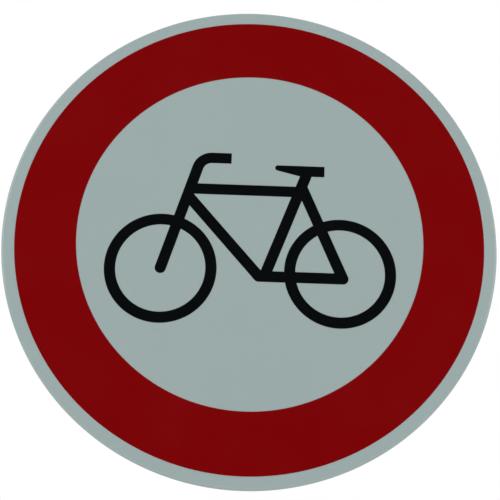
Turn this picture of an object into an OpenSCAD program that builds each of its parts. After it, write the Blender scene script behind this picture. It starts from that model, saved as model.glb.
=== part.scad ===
// Round no cycling sign: a formed aluminium blank with a reflective face and two clamp rails.
// The face looks toward -Y, +Z is up, and the post side is +Y.
// The origin is the centre of the sign on the plane of the rail backs, where post clamps seat.

/* [Sign face] */
// Diameter over the finished edge
sign_d = 600; // [560:5:700]
// White margin outside the red ring
margin_w = 16; // [8:0.5:24]
// Width of the red band
band_w = 74; // [60:1:90]
// Thickness of the white reflective sheeting
sheeting_t = 0.35; // [0.2:0.05:0.6]
// Thickness of the red and black films on the sheeting
overlay_t = 0.15; // [0.1:0.05:0.3]

/* [Bicycle] */
// Stroke width, which is also the grid that the bicycle is drawn on
stroke = 13.5; // [12:0.5:14]
// Sideways placing of the bicycle on the disc
shift_x = 1.1; // [-5:0.1:5]
// Upward placing of the bicycle on the disc
shift_z = -0.7; // [-5:0.1:5]

/* [Formed edge] */
// Thickness of the aluminium sheet
sheet_t = 2; // [1.5:0.25:3]
// Inside radius of both bends
bend_r = 1; // [0.5:0.25:2]
// Depth of the turned edge, over both bends
edge_depth = 15; // [12:0.5:17]
// Width of the lip that is turned inward, over its bend
lip_w = 11; // [8:0.5:14]

/* [Rails] */
// Height from the upper rail's slot to the lower rail's slot
rail_pitch = 350; // [300:10:360]
// Length of each rail
rail_len = 400; // [300:10:400]
// Depth of each rail, from the sheet to the clamp
rail_depth = 18; // [16:0.5:24]
// Width of the foot that is bonded to the sheet
foot_w = 44; // [36:1:50]
// Thickness of the foot
foot_t = 2; // [1.5:0.25:3]
// Width inside the channel, which stops a square bolt head from turning
channel_w = 14; // [13:0.5:17]
// Thickness of the channel's side walls
wall_t = 2.5; // [2:0.25:3.5]
// Thickness of the two lips that hold the bolt head
hook_t = 3; // [2.5:0.25:4]
// Width of the slot between the lips
slot_w = 9; // [8.5:0.25:11]

/* [Hidden] */

$fn = 96;
disc_fn = 240;

// Depths along Y, from the clamp plane at 0 toward the face
sheet_back = -rail_depth;
sheet_front = sheet_back - sheet_t;
sheeting_front = sheet_front - sheeting_t;

// Radii of the disc and of the two bends
finished_r = sign_d / 2;
blank_r = finished_r - sheeting_t;
bend_outer_r = bend_r + sheet_t;
wrap_r = bend_outer_r + sheeting_t;
ring_outer_r = finished_r - margin_w;
ring_inner_r = ring_outer_r - band_w;

// Bicycle on its grid, in strokes, with the middle of its 26 by 16 box at the origin
rear_hub = [8, -3];
front_hub = [-8, -3];
tyre_r = 5;
rim_r = 4;
bar_corner = [-4.75, 7.5];
bar_end_x = -2;
bar_bend_r = 1.31;
bracket = [0.75, -3.5];
drop_out = [8.25, -3.5];
seat_foot = [1.25, -3.5];
seat_top = [5, 6.5];
top_tube_z = 4.5;
down_tube_z = 3.87;
stay_top_z = 5;
saddle_top = 7;
saddle_under = 6;
saddle_tail_x = 6.5;
saddle_nose = [2.25, 6.75];
saddle_nose_r = 0.25;
saddle_slope = 13.6;
// Angle between the points of an arc in an outline
arc_step = 4;

// Rounding of the extruded rail section
rail_corner_r = 1.2;
rail_root_r = 1.5;
foot_tip_r = 0.6;

// The point at height z on the line through p and q
function at_height(p, q, z) = p + (q - p) * (z - p[1]) / (q[1] - p[1]);

function heading(p, q) = atan2(q[1] - p[1], q[0] - p[0]);

function toward(angle) = [cos(angle), sin(angle)];

// Points along an arc round c, from one angle to another
function arc(c, r, from, to) =
    let (steps = ceil(abs(to - from) / arc_step))
    [for (i = [0:steps]) c + r * toward(from + (to - from) * i / steps)];

// A quarter of a ring: centre c, outer radius r, wall t, in the quadrant that the signs name
module quarter_ring(c, r, t, side_x, side_y) {
    translate(c)
        intersection() {
            difference() {
                circle(r);
                circle(r - t);
            }
            translate([side_x > 0 ? 0 : -r, side_y > 0 ? 0 : -r])
                square(r);
        }
}

// Turns a section of radius and depth round the sign's axis, with depth 0 at the given Y
module turned(front_y) {
    translate([0, front_y, 0])
        rotate([-90, 0, 0])
            rotate_extrude($fn = disc_fn)
                children();
}

// Section of the pressed disc: flat face, bend, edge wall, second bend and inward lip
module blank_section() {
    bend_centre_r = blank_r - bend_outer_r;
    square([bend_centre_r, sheet_t]);
    quarter_ring([bend_centre_r, bend_outer_r], bend_outer_r, sheet_t, 1, -1);
    translate([blank_r - sheet_t, bend_outer_r])
        square([sheet_t, edge_depth - 2 * bend_outer_r]);
    quarter_ring([bend_centre_r, edge_depth - bend_outer_r], bend_outer_r, sheet_t, 1, 1);
    translate([blank_r - lip_w, edge_depth - sheet_t])
        square([lip_w - bend_outer_r, sheet_t]);
}

module sign_blank() {
    color("silver")
        turned(sheet_front)
            blank_section();
}

// The sheeting covers the flat face and goes round the first bend
module sheeting_section() {
    bend_centre_r = finished_r - wrap_r;
    square([bend_centre_r, sheeting_t]);
    quarter_ring([bend_centre_r, wrap_r], wrap_r, sheeting_t, 1, -1);
}

module face_sheeting() {
    color([0.88, 0.90, 0.89])
        turned(sheeting_front)
            sheeting_section();
}

module red_ring() {
    color([0.72, 0.02, 0.04])
        translate([0, sheeting_front, 0])
            rotate([90, 0, 0])
                linear_extrude(overlay_t)
                    difference() {
                        circle(ring_outer_r, $fn = disc_fn);
                        circle(ring_inner_r, $fn = disc_fn);
                    }
}

// A straight stroke from p to q, one grid unit wide, with square ends
module line(p, q) {
    translate(p)
        rotate(heading(p, q))
            translate([0, -0.5])
                square([norm(q - p), 1]);
}

// A stroke along a path whose corners all turn left, with round outer corners
module bent_line(path) {
    last = len(path) - 1;
    way = [for (i = [0:last - 1]) heading(path[i], path[i + 1])];
    outer = [for (i = [1:last - 1]) each arc(path[i], 0.5, way[i - 1] - 90, way[i] - 90)];
    inner = [
        for (i = [last - 1:-1:1])
            path[i] + 0.5 / cos((way[i] - way[i - 1]) / 2) * toward((way[i] + way[i - 1]) / 2 + 90)
    ];
    first_side = 0.5 * toward(way[0] + 90);
    last_side = 0.5 * toward(way[last - 1] + 90);
    polygon(concat(
        [path[0] + first_side, path[0] - first_side],
        outer,
        [path[last] - last_side, path[last] + last_side],
        inner
    ));
}

module wheel(hub) {
    translate(hub)
        difference() {
            circle(tyre_r);
            circle(rim_r);
        }
}

// Fork and stem in one stroke, round at the hub, which bends over into the handlebar
module steering() {
    lean = heading(front_hub, bar_corner);
    bend_centre = bar_corner + bar_bend_r * [tan(lean / 2), -1];
    polygon(concat(
        arc(front_hub, 0.5, lean - 90, lean - 270),
        arc(bend_centre, bar_bend_r + 0.5, lean + 90, 90),
        [[bar_end_x, bar_corner[1] + 0.5], [bar_end_x, bar_corner[1] - 0.5]],
        arc(bend_centre, bar_bend_r - 0.5, 90, lean + 90)
    ));
}

module top_tube() {
    line(at_height(front_hub, bar_corner, top_tube_z), at_height(seat_foot, seat_top, top_tube_z));
}

// Down tube, chain stay and seat stay in one stroke
module lower_frame() {
    bent_line([
        at_height(front_hub, bar_corner, down_tube_z),
        bracket,
        drop_out,
        at_height(seat_foot, seat_top, stay_top_z)
    ]);
}

// A stroke with level ends, inside the chain stay and the saddle
module seat_tube() {
    half_w = [0.5 / sin(heading(seat_foot, seat_top)), 0];
    polygon([seat_foot - half_w, seat_foot + half_w, seat_top + half_w, seat_top - half_w]);
}

// Flat top, round nose, and an underside that falls from the nose to the seat tube
module saddle() {
    under_nose = 270 - saddle_slope;
    slope_start = saddle_nose + saddle_nose_r * toward(under_nose);
    slope_run = (slope_start[1] - saddle_under) / tan(saddle_slope);
    polygon(concat(
        arc(saddle_nose, saddle_nose_r, 90, under_nose),
        [
            [slope_start[0] + slope_run, saddle_under],
            [saddle_tail_x, saddle_under],
            [saddle_tail_x, saddle_top]
        ]
    ));
}

// Cuts each flat child, drawn in strokes, from the black film at the bicycle's place
module cut_from_film() {
    translate([shift_x, sheeting_front, shift_z])
        rotate([90, 0, 0])
            for (i = [0:$children - 1])
                linear_extrude(overlay_t)
                    scale(stroke)
                        children(i);
}

module bicycle_symbol() {
    color([0.03, 0.03, 0.04])
        cut_from_film() {
            wheel(front_hub);
            wheel(rear_hub);
            steering();
            top_tube();
            lower_frame();
            seat_tube();
            saddle();
        }
}

// What a round corner of radius r leaves of a square one: added in a root, or cut from a tip
module corner_rest(r) {
    difference() {
        square(r);
        translate([r, r])
            circle(r);
    }
}

// Half of the rail section: x from the middle of the slot outward, y from the sheet to the clamp
module half_rail_section() {
    outer_w = channel_w / 2 + wall_t;
    difference() {
        union() {
            square([foot_w / 2, foot_t]);
            square([outer_w, rail_depth]);
            translate([outer_w, foot_t])
                corner_rest(rail_root_r);
        }
        translate([-1, foot_t])
            square([1 + channel_w / 2, rail_depth - foot_t - hook_t]);
        translate([-1, foot_t])
            square([1 + slot_w / 2, rail_depth]);
        translate([outer_w, rail_depth])
            rotate(180)
                corner_rest(rail_corner_r);
        translate([foot_w / 2, foot_t])
            rotate(180)
                corner_rest(foot_tip_r);
    }
}

module rail(height) {
    color("gainsboro")
        translate([-rail_len / 2, sheet_back, height])
            rotate([90, 0, 90])
                linear_extrude(rail_len)
                    rotate(-90) {
                        half_rail_section();
                        mirror([1, 0])
                            half_rail_section();
                    }
}

module upper_rail() {
    rail(rail_pitch / 2);
}

module lower_rail() {
    rail(-rail_pitch / 2);
}

sign_blank();
face_sheeting();
red_ring();
bicycle_symbol();
upper_rail();
lower_rail();
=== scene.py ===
"""Looks of a round no cycling sign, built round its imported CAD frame.

The sign is a pressed aluminium disc with a turned edge. White reflective sheeting covers its
face, and a red ring and a black bicycle are films on top. Two extruded rails on the back take
the post clamps. The face looks toward -Y, +Z is up, and all lengths are in metres.
"""

from __future__ import annotations

import logging
import math
from collections.abc import Callable
from dataclasses import dataclass, field
from enum import Enum

import bmesh
import bpy
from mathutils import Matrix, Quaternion, Vector


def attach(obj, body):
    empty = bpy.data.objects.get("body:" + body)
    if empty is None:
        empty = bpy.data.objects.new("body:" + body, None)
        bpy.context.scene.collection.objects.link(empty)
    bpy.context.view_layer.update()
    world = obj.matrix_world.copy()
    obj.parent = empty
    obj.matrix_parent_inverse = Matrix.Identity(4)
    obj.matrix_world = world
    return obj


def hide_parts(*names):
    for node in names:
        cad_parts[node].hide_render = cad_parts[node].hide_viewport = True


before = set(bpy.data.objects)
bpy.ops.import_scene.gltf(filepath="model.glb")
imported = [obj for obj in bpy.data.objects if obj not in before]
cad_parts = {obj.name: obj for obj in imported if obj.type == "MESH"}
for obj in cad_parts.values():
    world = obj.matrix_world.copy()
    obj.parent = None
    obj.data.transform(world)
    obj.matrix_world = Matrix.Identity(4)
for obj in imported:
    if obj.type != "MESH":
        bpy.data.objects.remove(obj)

log = logging.getLogger("no_cycling_sign")

Colour = tuple[float, float, float]
Place = tuple[float, float, float]
Span = tuple[float, float]

MM = 0.001
BODY = "root"
WHITE_LIGHT = (1.0, 1.0, 1.0, 1.0)

# Sides of every round piece and steps of every bend, so that the pieces lie flush on each other.
DISC_SIDES = 288
BEND_STEPS = 8

# Insets of a flat disc, from its rim inward.
INNER_RINGS = (12 * MM, 80 * MM, 120 * MM)

# The least share of a face's normal along an axis for a face that looks along it.
SQUARE_ON = 0.9

# A Mix node has sockets of the same names for each type of value, so they go by number.
MIX_SHARE = 0
MIX_NUMBER_A, MIX_NUMBER_B, MIX_NUMBER_RESULT = 2, 3, 0
MIX_COLOUR_A, MIX_COLOUR_B, MIX_COLOUR_RESULT = 6, 7, 2

# A Wave node at scale 1 goes through this many radians in a metre.
WAVE_RADIANS = 20.0


class Slot(Enum):
    """The material slots of the record."""

    BLANK = "blank_aluminium"
    RAIL = "rail_aluminium"
    WHITE = "white_sheeting"
    RED = "red_film"
    BLACK = "black_film"


class Ray(Enum):
    """The kinds of ray that the Light Path node tells apart for the floor and the room."""

    CAMERA = "Is Camera Ray"
    TRANSMISSION = "Is Transmission Ray"
    GLOSSY = "Is Glossy Ray"


# ---------------------------------------------------------------- node trees


class NodeBoard:
    """Adds the nodes of one material or world and joins them up."""

    def __init__(self, tree: bpy.types.NodeTree) -> None:
        """Empties the tree, so that only this script's nodes are in it."""
        tree.nodes.clear()
        self.tree = tree

    def add(self, kind: str, sockets: dict | None = None, **settings: object) -> bpy.types.Node:
        """Adds one node.

        Args:
            kind: The node's type name.
            sockets: For each input, by name or number, a plain value or an output to join to it.
            settings: The node's own properties.

        Returns:
            The new node.
        """
        node = self.tree.nodes.new(kind)
        for name, value in settings.items():
            setattr(node, name, value)
        for name, value in (sockets or {}).items():
            if isinstance(value, bpy.types.NodeSocket):
                self.tree.links.new(value, node.inputs[name])
            else:
                node.inputs[name].default_value = value
        return node

    def maths(self, operation: str, *values: object) -> bpy.types.NodeSocket:
        """Adds a Math node on up to three values and returns its result."""
        sockets = dict(enumerate(values))
        return self.add("ShaderNodeMath", sockets, operation=operation).outputs[0]

    def object_place(self, stretch: Place = (1.0, 1.0, 1.0)) -> bpy.types.NodeSocket:
        """Gives a point's place on the piece, with each axis stretched.

        Args:
            stretch: Factor for X, Y and Z. A small factor draws a pattern out along that axis.

        Returns:
            The stretched place, in metres.
        """
        place = self.add("ShaderNodeTexCoord").outputs["Object"]
        return self.add("ShaderNodeMapping", {"Vector": place, "Scale": stretch}).outputs[0]

    def noise(
        self, vector: bpy.types.NodeSocket, size: float, detail: float = 2.0
    ) -> bpy.types.NodeSocket:
        """Adds a noise pattern.

        Args:
            vector: The place that the pattern follows.
            size: The size of its patches.
            detail: How many finer layers it has.

        Returns:
            The pattern, from 0 to 1.
        """
        sockets = {"Vector": vector, "Scale": 1.0 / size, "Detail": detail}
        return self.add("ShaderNodeTexNoise", sockets).outputs["Fac"]

    def drawn_noise(self, width: float, length: float, detail: float) -> bpy.types.NodeSocket:
        """Adds a noise pattern that is drawn out along X."""
        return self.noise(self.object_place((width / length, 1, 1)), width, detail)

    def either(
        self, share: bpy.types.NodeSocket, first: object, second: object
    ) -> bpy.types.NodeSocket:
        """Goes from the first value to the second as share goes from 0 to 1."""
        sockets = {MIX_SHARE: share, MIX_NUMBER_A: first, MIX_NUMBER_B: second}
        return self.add("ShaderNodeMix", sockets, data_type="FLOAT").outputs[MIX_NUMBER_RESULT]

    def spread(
        self,
        value: bpy.types.NodeSocket,
        low: float,
        high: float,
        start: float = 0.3,
        end: float = 0.7,
    ) -> bpy.types.NodeSocket:
        """Maps one range of a value to another, and holds it at the ends.

        Args:
            value: The value. The range without start and end is that of a noise pattern.
            low: What start becomes.
            high: What end becomes.
            start: The value where the range begins.
            end: The value where the range ends.

        Returns:
            The mapped value.
        """
        sockets = {
            "Value": value, "From Min": start, "From Max": end, "To Min": low, "To Max": high,
        }
        return self.add("ShaderNodeMapRange", sockets).outputs["Result"]

    def around(
        self, pattern: bpy.types.NodeSocket, middle: float, reach: float
    ) -> bpy.types.NodeSocket:
        """Lets a value drift with a noise pattern, by up to reach on both sides of its middle."""
        return self.spread(pattern, middle - reach, middle + reach)

    def shade(self, colour: Colour, amount: bpy.types.NodeSocket) -> bpy.types.NodeSocket:
        """Multiplies a colour by a pattern.

        Args:
            colour: The colour, in linear light.
            amount: The pattern, which stays near 1.

        Returns:
            The shaded colour.
        """
        grey = self.add("ShaderNodeCombineColor", {"Red": amount, "Green": amount, "Blue": amount})
        sockets = {
            MIX_SHARE: 1.0, MIX_COLOUR_A: (*colour, 1.0), MIX_COLOUR_B: grey.outputs[0],
        }
        mix = self.add("ShaderNodeMix", sockets, data_type="RGBA", blend_type="MULTIPLY")
        return mix.outputs[MIX_COLOUR_RESULT]

    def bump(
        self, height: bpy.types.NodeSocket, depth: float, under: bpy.types.NodeSocket | None = None
    ) -> bpy.types.NodeSocket:
        """Turns a height pattern into a bumped normal.

        Args:
            height: The pattern, from 0 to 1.
            depth: The height of its bumps.
            under: A bumped normal that this one goes on.

        Returns:
            The bumped normal.
        """
        sockets = {"Height": height, "Distance": depth, "Strength": 1.0}
        if under is not None:
            sockets["Normal"] = under
        return self.add("ShaderNodeBump", sockets).outputs["Normal"]

    def surface(self, sockets: dict) -> None:
        """Ends a material in one Principled shader with these sockets."""
        shader = self.add("ShaderNodeBsdfPrincipled", sockets)
        self.add("ShaderNodeOutputMaterial", {"Surface": shader.outputs[0]})


def new_material(name: str) -> tuple[bpy.types.Material, NodeBoard]:
    """Makes an empty material.

    Args:
        name: The material's name.

    Returns:
        The material and the board for its nodes.
    """
    material = bpy.data.materials.new(name)
    material.use_nodes = True
    return material, NodeBoard(material.node_tree)


# ---------------------------------------------------------------- finishes


@dataclass(frozen=True)
class BeadedSheeting:
    """Reflective sheeting: fine glass beads in a coloured layer under a clear, smooth skin."""

    name: str
    colour: Colour
    bead: float = 0.15 * MM
    bead_height: float = 0.015 * MM
    bead_shade: float = 0.10
    cloud: float = 45 * MM
    cloud_shade: float = 0.006
    ripple: float = 7 * MM
    ripple_depth: float = 0.004 * MM
    roughness: float = 0.16
    roughness_drift: float = 0.02

    def material(self) -> bpy.types.Material:
        """Makes the material.

        Returns:
            The material.
        """
        material, board = new_material(self.name)
        place = board.object_place()
        beads = board.noise(place, self.bead, detail=1.0)
        clouds = board.noise(place, self.cloud)
        grain = board.around(beads, 1.0, self.bead_shade)
        drift = board.around(clouds, 1.0, self.cloud_shade)
        ripples = board.bump(board.noise(place, self.ripple), self.ripple_depth)
        board.surface({
            "Base Color": board.shade(self.colour, board.maths("MULTIPLY", grain, drift)),
            "Roughness": board.around(clouds, self.roughness, self.roughness_drift),
            "Normal": board.bump(beads, self.bead_height, ripples),
        })
        return material


@dataclass(frozen=True)
class CutFilm:
    """Plotter-cut film: an even colour that follows the ripple of the sheeting below it."""

    name: str
    colour: Colour
    fleck: float = 0.4 * MM
    fleck_shade: float = 0.05
    cloud: float = 60 * MM
    cloud_shade: float = 0.012
    ripple: float = 7 * MM
    ripple_depth: float = 0.004 * MM
    roughness: float = 0.12
    roughness_drift: float = 0.02

    def material(self) -> bpy.types.Material:
        """Makes the material.

        Returns:
            The material.
        """
        material, board = new_material(self.name)
        place = board.object_place()
        flecks = board.noise(place, self.fleck, detail=1.0)
        clouds = board.noise(place, self.cloud)
        grain = board.around(flecks, 1.0, self.fleck_shade)
        drift = board.around(clouds, 1.0, self.cloud_shade)
        board.surface({
            "Base Color": board.shade(self.colour, board.maths("MULTIPLY", grain, drift)),
            "Roughness": board.around(clouds, self.roughness, self.roughness_drift),
            "Normal": board.bump(board.noise(place, self.ripple), self.ripple_depth),
        })
        return material


@dataclass(frozen=True)
class RolledSheet:
    """Mill-finish aluminium sheet: rolling lines along X, and rub marks round the pressed edge."""

    name: str
    colour: Colour
    rolling_line: float = 0.25 * MM
    rolling_length: float = 60 * MM
    line_depth: float = 0.0025 * MM
    line_roughness: float = 0.07
    rolling_band: float = 9 * MM
    band_length: float = 900 * MM
    band_shades: Span = (0.955, 1.04)
    band_roughness: float = 0.05
    edge_from: float = 287.4 * MM
    edge_blend: float = 1.0 * MM
    rub_line: float = 0.35 * MM
    roughness: float = 0.34

    def material(self) -> bpy.types.Material:
        """Makes the material.

        Returns:
            The material.
        """
        material, board = new_material(self.name)
        rolled = board.drawn_noise(self.rolling_line, self.rolling_length, detail=3.0)
        bands = board.drawn_noise(self.rolling_band, self.band_length, detail=3.0)
        lines = self._rub_the_edge(board, rolled)
        roughness = board.maths(
            "ADD",
            board.around(lines, self.roughness, self.line_roughness),
            board.around(bands, 0.0, self.band_roughness),
        )
        board.surface({
            "Base Color": board.shade(self.colour, board.spread(bands, *self.band_shades)),
            "Metallic": 1.0,
            "Roughness": roughness,
            "Normal": board.bump(lines, self.line_depth),
        })
        return material

    def _rub_the_edge(
        self, board: NodeBoard, rolled: bpy.types.NodeSocket
    ) -> bpy.types.NodeSocket:
        """Puts marks that run round the sign's axis in place of the lines near the rim.

        Args:
            board: The material's board.
            rolled: The pattern of the rolling lines.

        Returns:
            The pattern of both.
        """
        axes = board.add("ShaderNodeSeparateXYZ", {"Vector": board.object_place()})
        across, deep, up = axes.outputs
        flat = board.add("ShaderNodeCombineXYZ", {"X": across, "Z": up})
        radius = board.add(
            "ShaderNodeVectorMath", {0: flat.outputs[0]}, operation="LENGTH"
        ).outputs["Value"]
        rubbed_at = board.add("ShaderNodeCombineXYZ", {"X": radius, "Y": deep}).outputs[0]
        rubbed = board.noise(rubbed_at, self.rub_line, detail=3.0)
        on_edge = board.spread(radius, 0, 1, self.edge_from, self.edge_from + self.edge_blend)
        return board.either(on_edge, rolled, rubbed)


@dataclass(frozen=True)
class ExtrudedBar:
    """Extruded aluminium: die lines along X, and curved saw marks on the cut ends.

    The middle of the saw lies saw_offset behind the clamp plane, level with the sign's middle.
    """

    name: str
    colour: Colour
    die_line: float = 0.5 * MM
    die_length: float = 400 * MM
    line_depth: float = 0.006 * MM
    line_shades: Span = (0.975, 1.02)
    line_roughness: float = 0.06
    end_facing: Span = (0.8, 0.95)
    saw_offset: float = 150 * MM
    saw_pitch: float = 2.8274 * MM
    saw_wobble: float = 1.5
    saw_depth: float = 0.012 * MM
    saw_roughness: float = 0.08
    roughness: float = 0.30

    def material(self) -> bpy.types.Material:
        """Makes the material.

        Returns:
            The material.
        """
        material, board = new_material(self.name)
        lines = board.drawn_noise(self.die_line, self.die_length, detail=4.0)
        normal = board.add("ShaderNodeNewGeometry").outputs["Normal"]
        facing = board.add("ShaderNodeSeparateXYZ", {"Vector": normal}).outputs["X"]
        on_end = board.spread(board.maths("ABSOLUTE", facing), 0, 1, *self.end_facing)
        sawn = board.maths("MULTIPLY", self._saw_marks(board), on_end)
        die_bump = board.bump(lines, self.line_depth)
        roughness = board.around(lines, self.roughness, self.line_roughness)
        rougher = board.maths("MULTIPLY", on_end, self.saw_roughness)
        board.surface({
            "Base Color": board.shade(self.colour, board.spread(lines, *self.line_shades)),
            "Metallic": 1.0,
            "Roughness": board.maths("ADD", roughness, rougher),
            "Normal": board.bump(sawn, self.saw_depth, die_bump),
        })
        return material

    def _saw_marks(self, board: NodeBoard) -> bpy.types.NodeSocket:
        """Draws arcs round the middle of the saw.

        Args:
            board: The material's board.

        Returns:
            The pattern, from 0 to 1.
        """
        place = board.add("ShaderNodeTexCoord").outputs["Object"]
        from_saw = board.add(
            "ShaderNodeMapping",
            {"Vector": place, "Location": (0, -self.saw_offset, 0), "Scale": (0, 1, 1)},
        ).outputs[0]
        sockets = {
            "Vector": from_saw,
            "Scale": math.tau / (self.saw_pitch * WAVE_RADIANS),
            "Distortion": self.saw_wobble,
            "Detail": 2.0,
        }
        wave = board.add("ShaderNodeTexWave", sockets, wave_type="RINGS", rings_direction="X")
        return wave.outputs["Fac"]


@dataclass(frozen=True)
class PaleFloor:
    """A plain pale floor that takes the sign's soft shadow."""

    name: str = "pale_floor"
    colour: Colour = (0.80, 0.80, 0.80)
    cloud: float = 0.6
    cloud_shade: float = 0.005
    roughness: float = 0.9
    lift: float = 0.28

    def material(self) -> bpy.types.Material:
        """Makes the material.

        Returns:
            The material.
        """
        material, board = new_material(self.name)
        clouds = board.noise(board.object_place(), self.cloud)
        seen = board.add("ShaderNodeLightPath").outputs[Ray.CAMERA.value]
        board.surface({
            "Base Color": board.shade(self.colour, board.around(clouds, 1.0, self.cloud_shade)),
            "Roughness": self.roughness,
            "Emission Color": WHITE_LIGHT,
            "Emission Strength": board.maths("MULTIPLY", seen, self.lift),
        })
        return material


# ---------------------------------------------------------------- the bench


class Bench:
    """The workbench: takes up a new primitive, picks its faces and edges, and finishes it."""

    @staticmethod
    def clear() -> None:
        """Leaves edit mode and deselects everything."""
        if bpy.context.object and bpy.context.object.mode != "OBJECT":
            bpy.ops.object.mode_set(mode="OBJECT")
        bpy.ops.object.select_all(action="DESELECT")

    @staticmethod
    def take(name: str) -> bpy.types.Object:
        """Names the primitive just added, puts its place in its mesh and opens it for editing.

        Args:
            name: The piece's name.

        Returns:
            The piece, in edit mode.
        """
        piece = bpy.context.object
        piece.name = piece.data.name = name
        bpy.ops.object.transform_apply(location=True, rotation=True, scale=True)
        bpy.ops.object.mode_set(mode="EDIT")
        return piece

    @staticmethod
    def take_disc(name: str, radius: float, front_y: float) -> bpy.types.Object:
        """Adds a filled circle on the sign's axis and opens it for editing, all selected.

        Args:
            name: The piece's name.
            radius: The circle's radius.
            front_y: Its place along the axis.

        Returns:
            The piece, in edit mode.
        """
        Bench.clear()
        bpy.ops.mesh.primitive_circle_add(
            vertices=DISC_SIDES, radius=radius, fill_type="NGON",
            location=(0, front_y, 0), rotation=(math.radians(90), 0, 0),
        )
        piece = Bench.take(name)
        bpy.ops.mesh.select_all(action="SELECT")
        return piece

    @staticmethod
    def inset_rings() -> None:
        """Insets a selected disc, so that no long thin face runs from its middle to its rim."""
        for width in INNER_RINGS:
            bpy.ops.mesh.inset(thickness=width)

    @staticmethod
    def pick_faces(piece: bpy.types.Object, wanted: Callable[[Vector, Vector], bool]) -> None:
        """Selects only the faces whose middle and normal pass a test.

        Args:
            piece: The mesh in edit mode.
            wanted: The test, given a face's middle and normal.
        """
        bpy.ops.mesh.select_mode(type="FACE")
        bpy.ops.mesh.select_all(action="DESELECT")
        shape = bmesh.from_edit_mesh(piece.data)
        shape.normal_update()
        for face in shape.faces:
            face.select_set(wanted(face.calc_center_median(), face.normal))
        bmesh.update_edit_mesh(piece.data)

    @staticmethod
    def pick_edges(piece: bpy.types.Object, wanted: Callable[[Vector, Vector], bool]) -> None:
        """Selects only the edges whose two ends pass a test.

        Args:
            piece: The mesh in edit mode.
            wanted: The test, given the places of an edge's two ends.
        """
        bpy.ops.mesh.select_mode(type="EDGE")
        bpy.ops.mesh.select_all(action="DESELECT")
        shape = bmesh.from_edit_mesh(piece.data)
        for edge in shape.edges:
            edge.select_set(wanted(edge.verts[0].co, edge.verts[1].co))
        bmesh.update_edit_mesh(piece.data)

    @staticmethod
    def face_outward() -> None:
        """Turns every face of the open mesh outward."""
        bpy.ops.mesh.select_all(action="SELECT")
        bpy.ops.mesh.normals_make_consistent(inside=False)

    @staticmethod
    def put_down(piece: bpy.types.Object) -> None:
        """Leaves edit mode, with only this piece selected."""
        Bench.clear()
        piece.select_set(True)

    @staticmethod
    def thicken(piece: bpy.types.Object, thickness: float) -> None:
        """Gives a skin its thickness, inward from its faces.

        Args:
            piece: The skin.
            thickness: How thick it becomes.
        """
        wall = piece.modifiers.new("wall", "SOLIDIFY")
        wall.thickness = thickness
        wall.offset = -1.0
        wall.use_even_offset = True
        bpy.ops.object.modifier_apply(modifier=wall.name)

    @staticmethod
    def round_arrises(piece: bpy.types.Object, radius: float, degrees: float = 50.0) -> None:
        """Rounds every sharp arris of a finished solid.

        Args:
            piece: The solid.
            radius: The radius of the rounding.
            degrees: The least angle at which an edge is rounded.
        """
        arris = piece.modifiers.new("arris", "BEVEL")
        arris.width = radius
        arris.segments = 2
        arris.limit_method = "ANGLE"
        arris.angle_limit = math.radians(degrees)
        bpy.ops.object.modifier_apply(modifier=arris.name)

    @staticmethod
    def smooth(piece: bpy.types.Object, degrees: float = 32.0) -> None:
        """Shades the bends smooth and keeps the broad faces flat right up to them.

        Args:
            piece: The finished solid.
            degrees: The least angle at which an edge stays sharp.
        """
        bpy.ops.object.shade_smooth_by_angle(angle=math.radians(degrees))
        flats = piece.modifiers.new("flats", "WEIGHTED_NORMAL")
        flats.mode = "FACE_AREA"
        flats.keep_sharp = True
        bpy.ops.object.modifier_apply(modifier=flats.name)


def near(value: float, target: float, reach: float = 0.02 * MM) -> bool:
    """Says whether a length is within reach of a target."""
    return abs(value - target) < reach


def on_circle(radius: float, y: float, *points: Vector) -> bool:
    """Says whether points are all on the circle of this radius round the sign's axis, at y."""
    return all(near(math.hypot(p.x, p.z), radius) and near(p.y, y) for p in points)


def dress(piece: bpy.types.Object, finish: bpy.types.Material, slot: Slot, *nodes: str) -> None:
    """Gives a new piece its finish, and puts it in the place of its CAD nodes.

    Args:
        piece: The finished mesh.
        finish: Its material.
        slot: Not used; the record's slot that the finish goes with.
        nodes: The CAD nodes that the piece stands for.
    """
    piece.data.materials.clear()
    piece.data.materials.append(finish)
    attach(piece, BODY)
    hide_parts(*nodes)


# ---------------------------------------------------------------- the sign


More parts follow.
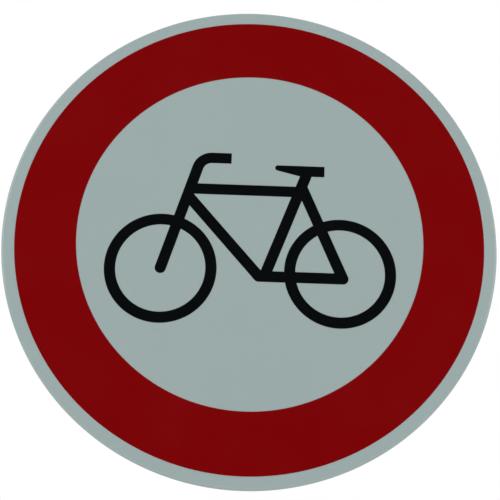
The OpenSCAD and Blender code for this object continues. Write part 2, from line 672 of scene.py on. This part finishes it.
@dataclass
class PressedDisc:
    """The aluminium blank: a flat disc whose edge is turned back and then inward."""

    finish: RolledSheet = RolledSheet("rolled_aluminium", (0.52, 0.53, 0.54))
    radius: float = 299.65 * MM
    front_y: float = -20 * MM
    edge_depth: float = 15 * MM
    lip_width: float = 11 * MM
    bend_radius: float = 3 * MM
    thickness: float = 2 * MM
    sheared_radius: float = 0.3 * MM

    def build(self) -> list[bpy.types.Object]:
        """Presses the disc: a skin with two sharp corners, then its bends, then its thickness.

        Returns:
            The disc, on its own in a list.
        """
        disc = Bench.take_disc("pressed_disc", self.radius, self.front_y)
        Bench.inset_rings()
        self._turn_edge(disc)
        Bench.face_outward()
        Bench.put_down(disc)
        Bench.thicken(disc, self.thickness)
        Bench.round_arrises(disc, self.sheared_radius)
        Bench.smooth(disc)
        dress(disc, self.finish.material(), Slot.BLANK, "sign_blank")
        return [disc]

    def _turn_edge(self, disc: bpy.types.Object) -> None:
        """Draws the edge back and the lip inward, and rounds the corner before each.

        Args:
            disc: The flat skin, in edit mode.
        """
        back_y = self.front_y + self.edge_depth
        Bench.pick_edges(disc, lambda a, b: on_circle(self.radius, self.front_y, a, b))
        bpy.ops.mesh.extrude_edges_move(
            TRANSFORM_OT_translate={"value": (0, self.edge_depth, 0)}
        )
        bpy.ops.mesh.extrude_edges_move(TRANSFORM_OT_translate={"value": (0, 0, 0)})
        inward = (self.radius - self.lip_width) / self.radius
        bpy.ops.transform.resize(value=(inward, 1, inward), center_override=(0, back_y, 0))
        Bench.pick_edges(
            disc,
            lambda a, b: any(on_circle(self.radius, y, a, b) for y in (self.front_y, back_y)),
        )
        bpy.ops.mesh.bevel(offset=self.bend_radius, segments=BEND_STEPS, affect="EDGES")


@dataclass
class FaceSheeting:
    """The white sheeting, wrapped round the first bend of the disc.

    Past its bend it goes on for trim_width, so that the bend has a flat to end on.
    """

    finish: BeadedSheeting = BeadedSheeting("white_sheeting", (0.350, 0.433, 0.425))
    radius: float = 300 * MM
    front_y: float = -20.35 * MM
    bend_radius: float = 3.35 * MM
    trim_width: float = 0.01 * MM
    thickness: float = 0.35 * MM

    def build(self) -> list[bpy.types.Object]:
        """Lays the sheeting: a disc, its wrapped edge, and its thickness.

        Returns:
            The sheeting, on its own in a list.
        """
        sheet = Bench.take_disc("white_face", self.radius, self.front_y)
        Bench.inset_rings()
        Bench.pick_edges(sheet, self._on_rim)
        bpy.ops.mesh.extrude_edges_move(
            TRANSFORM_OT_translate={"value": (0, self.bend_radius + self.trim_width, 0)}
        )
        Bench.pick_edges(sheet, self._on_rim)
        bpy.ops.mesh.bevel(offset=self.bend_radius, segments=BEND_STEPS, affect="EDGES")
        Bench.face_outward()
        Bench.put_down(sheet)
        Bench.thicken(sheet, self.thickness)
        Bench.smooth(sheet)
        dress(sheet, self.finish.material(), Slot.WHITE, "face_sheeting")
        return [sheet]

    def _on_rim(self, a: Vector, b: Vector) -> bool:
        """Says whether an edge is on the sharp outer corner of the front."""
        return on_circle(self.radius, self.front_y, a, b)


@dataclass
class RedRing:
    """The red film ring on the sheeting."""

    finish: CutFilm = CutFilm("red_film", (0.208, 0.0005, 0.0015))
    outer_radius: float = 284 * MM
    inner_radius: float = 210 * MM
    front_y: float = -20.5 * MM
    thickness: float = 0.15 * MM
    cut_radius: float = 0.03 * MM

    def build(self) -> list[bpy.types.Object]:
        """Cuts the ring: a filled circle, its middle taken out, and its thickness.

        Returns:
            The ring, on its own in a list.
        """
        ring = Bench.take_disc("red_band", self.outer_radius, self.front_y)
        bpy.ops.mesh.inset(thickness=self.outer_radius - self.inner_radius)
        bpy.ops.mesh.delete(type="FACE")
        Bench.put_down(ring)
        Bench.thicken(ring, self.thickness)
        Bench.round_arrises(ring, self.cut_radius)
        Bench.smooth(ring)
        dress(ring, self.finish.material(), Slot.RED, "red_ring")
        return [ring]


@dataclass
class BicycleFilm:
    """The black bicycle, cut from one piece of film."""

    finish: CutFilm = CutFilm("black_film", (0.0026, 0.0034, 0.0041))
    cut_radius: float = 0.03 * MM
    weld: float = 0.002 * MM
    flat_degrees: float = 0.2

    def build(self) -> list[bpy.types.Object]:
        """Takes a copy of the CAD outline, welds it into one clean mesh and eases its cut edge.

        Returns:
            The bicycle, on its own in a list.
        """
        Bench.clear()
        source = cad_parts["bicycle_symbol"]
        bicycle = bpy.data.objects.new("bicycle_film", source.data.copy())
        bpy.context.scene.collection.objects.link(bicycle)
        bpy.context.view_layer.objects.active = bicycle
        bicycle.select_set(True)
        bpy.ops.object.mode_set(mode="EDIT")
        bpy.ops.mesh.select_all(action="SELECT")
        bpy.ops.mesh.remove_doubles(threshold=self.weld)
        bpy.ops.mesh.dissolve_limited(angle_limit=math.radians(self.flat_degrees))
        Bench.put_down(bicycle)
        Bench.round_arrises(bicycle, self.cut_radius)
        Bench.smooth(bicycle)
        dress(bicycle, self.finish.material(), Slot.BLACK, "bicycle_symbol")
        return [bicycle]


@dataclass
class ClampRails:
    """Two equal extruded rails, with a foot on the sheet and a slot for clamp bolts."""

    finish: ExtrudedBar = ExtrudedBar("extruded_aluminium", (0.72, 0.73, 0.74))
    pitch: float = 350 * MM
    length: float = 400 * MM
    depth: float = 18 * MM
    foot_width: float = 44 * MM
    foot_thickness: float = 2 * MM
    channel_width: float = 14 * MM
    wall: float = 2.5 * MM
    hook: float = 3 * MM
    slot_width: float = 9 * MM
    corner_radius: float = 1.2 * MM
    root_radius: float = 1.5 * MM
    tip_radius: float = 0.6 * MM
    corner_steps: int = 5
    tip_steps: int = 4
    sawn_radius: float = 0.2 * MM

    def build(self) -> list[bpy.types.Object]:
        """Makes the upper rail, copies it for the lower one, and dresses both.

        Returns:
            The upper and the lower rail.
        """
        upper = self._rail(self.pitch / 2)
        lower = self._copy_below(upper)
        aluminium = self.finish.material()
        dress(upper, aluminium, Slot.RAIL, "upper_rail")
        dress(lower, aluminium, Slot.RAIL, "lower_rail")
        return [upper, lower]

    def _copy_below(self, upper: bpy.types.Object) -> bpy.types.Object:
        """Copies the upper rail, one pitch lower.

        Args:
            upper: The upper rail.

        Returns:
            The lower rail, with a mesh of its own.
        """
        Bench.clear()
        lower = upper.copy()
        lower.data = upper.data.copy()
        lower.name = lower.data.name = "lower_clamp_rail"
        bpy.context.scene.collection.objects.link(lower)
        lower.location.z = -self.pitch
        lower.select_set(True)
        bpy.context.view_layer.objects.active = lower
        bpy.ops.object.transform_apply(location=True, rotation=True, scale=True)
        return lower

    def _rail(self, height: float) -> bpy.types.Object:
        """Models one rail from its foot: walls drawn up, hooks drawn in, corners rounded.

        Args:
            height: The height of its slot above the sign's middle.

        Returns:
            The rail.
        """
        Bench.clear()
        bpy.ops.mesh.primitive_cube_add(
            size=1,
            location=(0, -self.depth + self.foot_thickness / 2, height),
            scale=(self.length, self.foot_thickness, self.foot_width),
        )
        rail = Bench.take("upper_clamp_rail")
        inside = self.channel_width / 2
        outside = inside + self.wall
        for side in (-outside, -inside, inside, outside):
            self._slice((0, 0, height + side), (0, 0, 1))
        Bench.pick_faces(
            rail,
            lambda middle, normal: normal.y > SQUARE_ON
            and inside < abs(middle.z - height) < outside,
        )
        bpy.ops.mesh.extrude_region_move(
            TRANSFORM_OT_translate={"value": (0, self.depth - self.foot_thickness, 0)}
        )
        self._slice((0, -self.hook, 0), (0, 1, 0))
        for side in (-1, 1):
            self._draw_hook(rail, height + side * inside, -side)
        foot_back = -self.depth + self.foot_thickness
        tip = self.foot_width / 2
        self._round_along(rail, height, outside, 0, self.corner_radius, self.corner_steps)
        self._round_along(rail, height, outside, foot_back, self.root_radius, self.corner_steps)
        self._round_along(rail, height, tip, foot_back, self.tip_radius, self.tip_steps)
        Bench.put_down(rail)
        Bench.round_arrises(rail, self.sawn_radius)
        Bench.smooth(rail)
        return rail

    @staticmethod
    def _slice(point: Place, normal: Place) -> None:
        """Cuts new edges round the mesh on a plane."""
        bpy.ops.mesh.select_all(action="SELECT")
        bpy.ops.mesh.bisect(plane_co=point, plane_no=normal)

    def _draw_hook(self, rail: bpy.types.Object, wall_z: float, way: int) -> None:
        """Draws the top of one wall over the channel, as far as the slot.

        Args:
            rail: The rail, in edit mode.
            wall_z: The height of the wall's inner face.
            way: 1 to draw it up, -1 to draw it down.
        """
        Bench.pick_faces(
            rail, lambda middle, normal: near(middle.z, wall_z) and middle.y > -self.hook
        )
        reach = (self.channel_width - self.slot_width) / 2
        bpy.ops.mesh.extrude_region_move(TRANSFORM_OT_translate={"value": (0, 0, way * reach)})

    @staticmethod
    def _round_along(
        rail: bpy.types.Object, height: float, across: float, y: float, radius: float, steps: int
    ) -> None:
        """Rounds two long edges, one on each side of the slot.

        Args:
            rail: The rail, in edit mode.
            height: The height of the slot.
            across: How far above and below the slot's middle the two edges lie.
            y: Their depth.
            radius: The radius of the rounding.
            steps: Its number of steps.
        """
        def along(a: Vector, b: Vector) -> bool:
            """Says whether an edge runs along the rail on one of the two lines."""
            on_lines = all(near(abs(p.z - height), across) and near(p.y, y) for p in (a, b))
            return on_lines and not near(a.x, b.x)

        Bench.pick_edges(rail, along)
        bpy.ops.mesh.bevel(offset=radius, segments=steps, affect="EDGES")


# ---------------------------------------------------------------- the studio


@dataclass(frozen=True)
class SoftLamp:
    """One square or oblong lamp that looks at the sign."""

    name: str
    place: Place
    size: Span
    watts: float
    aim: Place = (0.0, 0.0, 0.0)

    def hang(self) -> None:
        """Adds the lamp."""
        Bench.clear()
        bpy.ops.object.light_add(type="AREA", location=self.place)
        lamp = bpy.context.object
        lamp.name = lamp.data.name = self.name
        lamp.data.shape = "RECTANGLE"
        lamp.data.size, lamp.data.size_y = self.size
        lamp.data.energy = self.watts
        lamp.visible_camera = False
        way = Vector(self.aim) - Vector(self.place)
        lamp.rotation_euler = way.to_track_quat("-Z", "Y").to_euler()


@dataclass(frozen=True)
class Room:
    """What surrounds the sign: pale all round, but dark in its gloss where the photographer is."""

    dark_way: Place = (0.0, -0.97, 0.26)
    dark_share: float = 0.010
    dark_from: float = -0.10
    dark_to: float = 0.75
    floor_rise: float = -0.4
    sky_rise: float = 0.6
    low_light: float = 0.40
    high_light: float = 0.75
    low_gloss: float = 0.30
    high_gloss: float = 1.0

    def build(self) -> None:
        """Makes the world: white to the camera and through glass, pale to every other ray."""
        world = bpy.data.worlds.new("room")
        world.use_nodes = True
        bpy.context.scene.world = world
        board = NodeBoard(world.node_tree)
        way = board.add("ShaderNodeTexCoord").outputs["Generated"]
        rise = board.add("ShaderNodeSeparateXYZ", {"Vector": way}).outputs["Z"]
        light = board.spread(rise, self.low_light, self.high_light, self.floor_rise, self.sky_rise)
        gloss = board.spread(rise, self.low_gloss, self.high_gloss, self.floor_rise, self.sky_rise)
        mirrored = board.maths("MULTIPLY", gloss, self._out_of_the_dark(board, way))
        rays = board.add("ShaderNodeLightPath").outputs
        level = board.either(rays[Ray.GLOSSY.value], light, mirrored)
        bare = board.maths("MAXIMUM", rays[Ray.CAMERA.value], rays[Ray.TRANSMISSION.value])
        surface = board.add(
            "ShaderNodeBackground",
            {"Color": WHITE_LIGHT, "Strength": board.either(bare, level, 1.0)},
        )
        board.add("ShaderNodeOutputWorld", {"Surface": surface.outputs[0]})

    def _out_of_the_dark(
        self, board: NodeBoard, way: bpy.types.NodeSocket
    ) -> bpy.types.NodeSocket:
        """Falls smoothly toward the photographer's side, so that the films stay deep in colour.

        Args:
            board: The world's board.
            way: The way that a ray leaves the scene.

        Returns:
            The share of the gloss that is left, from dark_share to 1.
        """
        toward = board.add(
            "ShaderNodeVectorMath", {0: way, 1: self.dark_way}, operation="DOT_PRODUCT"
        ).outputs["Value"]
        sockets = {
            "Value": toward, "From Min": self.dark_from, "From Max": self.dark_to,
            "To Min": 1.0, "To Max": self.dark_share,
        }
        return board.add(
            "ShaderNodeMapRange", sockets, interpolation_type="SMOOTHSTEP"
        ).outputs["Result"]


@dataclass(frozen=True)
class Photographer:
    """The camera, as fitted to the sign in the photograph: near, below the middle, tipped."""

    place: Place = (-21.9 * MM, -1291.1 * MM, -366.7 * MM)
    aim: Place = (0.0, -20.5 * MM, -15.7 * MM)
    roll: float = 1.69
    lens: float = 78.7
    sensor: float = 36.0

    def stand(self) -> None:
        """Adds the camera and makes it the scene's own."""
        Bench.clear()
        bpy.ops.object.camera_add(location=self.place)
        camera = bpy.context.object
        camera.name = camera.data.name = "photographer"
        camera.data.lens = self.lens
        camera.data.sensor_width = self.sensor
        way = (Vector(self.aim) - Vector(self.place)).to_track_quat("-Z", "Y")
        tipped = way @ Quaternion((0, 0, 1), math.radians(self.roll))
        camera.rotation_euler = tipped.to_euler()
        bpy.context.scene.camera = camera


@dataclass
class Studio:
    """The floor, the lamps and the room."""

    floor_z: float = -0.75
    floor_size: float = 9.0
    lamps: list[SoftLamp] = field(default_factory=lambda: [
        SoftLamp("left_key", (-2.0, -1.5, 1.0), (2.0, 2.0), 23),
        SoftLamp("right_fill", (2.1, -1.7, 0.6), (1.6, 1.4), 16),
        SoftLamp("back_fill", (1.6, 2.2, 1.6), (2.4, 1.8), 22),
    ])

    def build(self) -> None:
        """Lays the floor, hangs the lamps and sets the view transform."""
        Bench.clear()
        bpy.ops.mesh.primitive_plane_add(size=self.floor_size, location=(0, 0, self.floor_z))
        floor = bpy.context.object
        floor.name = floor.data.name = "floor"
        bpy.ops.object.transform_apply(location=True, rotation=True, scale=True)
        floor.data.materials.append(PaleFloor().material())
        for lamp in self.lamps:
            lamp.hang()
        Room().build()
        bpy.context.scene.view_settings.view_transform = "Standard"


def main() -> None:
    """Builds the sign's pieces in order, and then the studio round them."""
    logging.basicConfig(level=logging.INFO, format="%(name)s: %(message)s")
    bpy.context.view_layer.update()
    Photographer().stand()
    for assembly in (PressedDisc(), FaceSheeting(), RedRing(), BicycleFilm(), ClampRails()):
        for piece in assembly.build():
            log.info("%s: %d faces", piece.name, len(piece.data.polygons))
    Studio().build()


if __name__ == "__main__":
    main()
